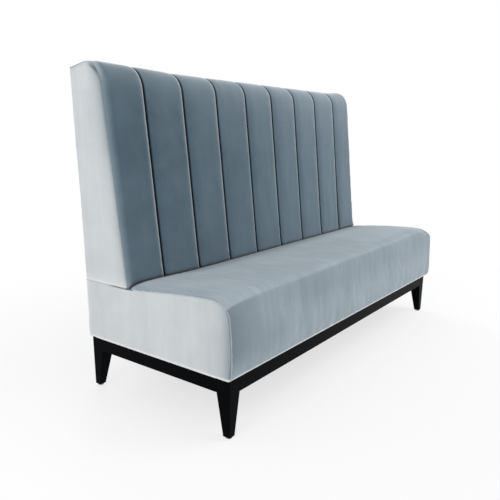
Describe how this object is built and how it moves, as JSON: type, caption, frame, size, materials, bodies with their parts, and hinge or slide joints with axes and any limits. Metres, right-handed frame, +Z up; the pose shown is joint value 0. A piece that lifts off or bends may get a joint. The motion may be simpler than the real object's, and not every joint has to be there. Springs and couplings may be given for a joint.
{
  "type": "banquette bench",
  "caption": "High-back banquette: velvet box seat under a raked back sewn in upright channels, on a black plinth with tapered legs and levelling glides.",
  "frame": {"origin": "on the floor, under the centre of the bench's outline", "axes": "+X along the bench to the sitter's left, -Y out of the front that people sit at, +Z up"},
  "size_m": [1.8, 0.7, 1.1999],
  "materials": {
    "velvet": "pale blue-grey cut-pile velvet",
    "lacquered_beech": "black satin lacquer",
    "bare_beech": "bare",
    "plywood": "bare plywood",
    "softwood": "bare planed softwood",
    "hardboard": "bare hardboard",
    "foam": "cut polyurethane foam",
    "webbing": "woven elastic webbing",
    "dust_cloth": "black non-woven cloth",
    "plated_steel": "zinc plated",
    "brass": "turned",
    "glide_plastic": "moulded grey nylon"
  },
  "bodies": {
    "bench": {"back_bolts": "plated_steel", "back_bottom_board": "softwood", "back_cover_channels": "velvet", "back_cover_left": "velvet", "back_cover_rear": "velvet", "back_cover_right": "velvet", "back_end_left": "plywood", "back_end_right": "plywood", "back_face_board": "plywood", "back_rear_board": "hardboard", "back_top_board": "softwood", "back_uprights": "plywood", "channel_pad_1": "foam", "channel_pad_2": "foam", "channel_pad_3": "foam", "channel_pad_4": "foam", "channel_pad_5": "foam", "channel_pad_6": "foam", "channel_pad_7": "foam", "channel_pad_8": "foam", "channel_pad_9": "foam", "corner_brackets": "plated_steel", "glide_inserts": "brass", "hanger_bolts": "plated_steel", "leg_front_left": "lacquered_beech", "leg_front_right": "lacquered_beech", "leg_rear_left": "lacquered_beech", "leg_rear_right": "lacquered_beech", "plinth_cross_rails": "lacquered_beech", "plinth_rail_front": "lacquered_beech", "plinth_rail_left": "lacquered_beech", "plinth_rail_rear": "lacquered_beech", "plinth_rail_right": "lacquered_beech", "plinth_screws": "plated_steel", "rail_dowels": "bare_beech", "seat_corner_blocks": "softwood", "seat_cover_left": "velvet", "seat_cover_main": "velvet", "seat_cover_rear": "velvet", "seat_cover_right": "velvet", "seat_cross_members": "softwood", "seat_dust_cover": "dust_cloth", "seat_end_left": "plywood", "seat_end_right": "plywood", "seat_foam_core": "foam", "seat_foam_wrap": "foam", "seat_ledge_board": "plywood", "seat_ledge_riser": "plywood", "seat_rail_front": "softwood", "seat_rail_middle": "softwood", "seat_rail_rear": "softwood", "seat_webbing": "webbing"},
    "glide_pad_front_left": {"glide_pad_front_left": "glide_plastic"},
    "glide_stem_front_left": {"glide_stem_front_left": "plated_steel"},
    "glide_pad_front_right": {"glide_pad_front_right": "glide_plastic"},
    "glide_stem_front_right": {"glide_stem_front_right": "plated_steel"},
    "glide_pad_rear_left": {"glide_pad_rear_left": "glide_plastic"},
    "glide_stem_rear_left": {"glide_stem_rear_left": "plated_steel"},
    "glide_pad_rear_right": {"glide_pad_rear_right": "glide_plastic"},
    "glide_stem_rear_right": {"glide_stem_rear_right": "plated_steel"}
  },
  "joints": [
    {"name": "glide_lift_front_left", "type": "slide", "parent": "bench", "child": "glide_pad_front_left", "axis": [0, 0, -1], "range_m": [0, 0.012]},
    {"name": "glide_turn_front_left", "type": "hinge", "parent": "glide_pad_front_left", "child": "glide_stem_front_left", "pos_m": [-0.874, -0.324, 0.02], "axis": [0, 0, -1], "range_deg": [0, 3460]},
    {"name": "glide_lift_front_right", "type": "slide", "parent": "bench", "child": "glide_pad_front_right", "axis": [0, 0, -1], "range_m": [0, 0.012]},
    {"name": "glide_turn_front_right", "type": "hinge", "parent": "glide_pad_front_right", "child": "glide_stem_front_right", "pos_m": [0.874, -0.324, 0.02], "axis": [0, 0, -1], "range_deg": [0, 3460]},
    {"name": "glide_lift_rear_left", "type": "slide", "parent": "bench", "child": "glide_pad_rear_left", "axis": [0, 0, -1], "range_m": [0, 0.012]},
    {"name": "glide_turn_rear_left", "type": "hinge", "parent": "glide_pad_rear_left", "child": "glide_stem_rear_left", "pos_m": [-0.874, 0.33, 0.02], "axis": [0, 0, -1], "range_deg": [0, 3460]},
    {"name": "glide_lift_rear_right", "type": "slide", "parent": "bench", "child": "glide_pad_rear_right", "axis": [0, 0, -1], "range_m": [0, 0.012]},
    {"name": "glide_turn_rear_right", "type": "hinge", "parent": "glide_pad_rear_right", "child": "glide_stem_rear_right", "pos_m": [0.874, 0.33, 0.02], "axis": [0, 0, -1], "range_deg": [0, 3460]}
  ],
  "couplings": [
    {"joint": "glide_turn_front_left", "follows": "glide_lift_front_left", "rad_per_m": 5026.5},
    {"joint": "glide_turn_front_right", "follows": "glide_lift_front_right", "rad_per_m": 5026.5},
    {"joint": "glide_turn_rear_left", "follows": "glide_lift_rear_left", "rad_per_m": 5026.5},
    {"joint": "glide_turn_rear_right", "follows": "glide_lift_rear_right", "rad_per_m": 5026.5}
  ]
}
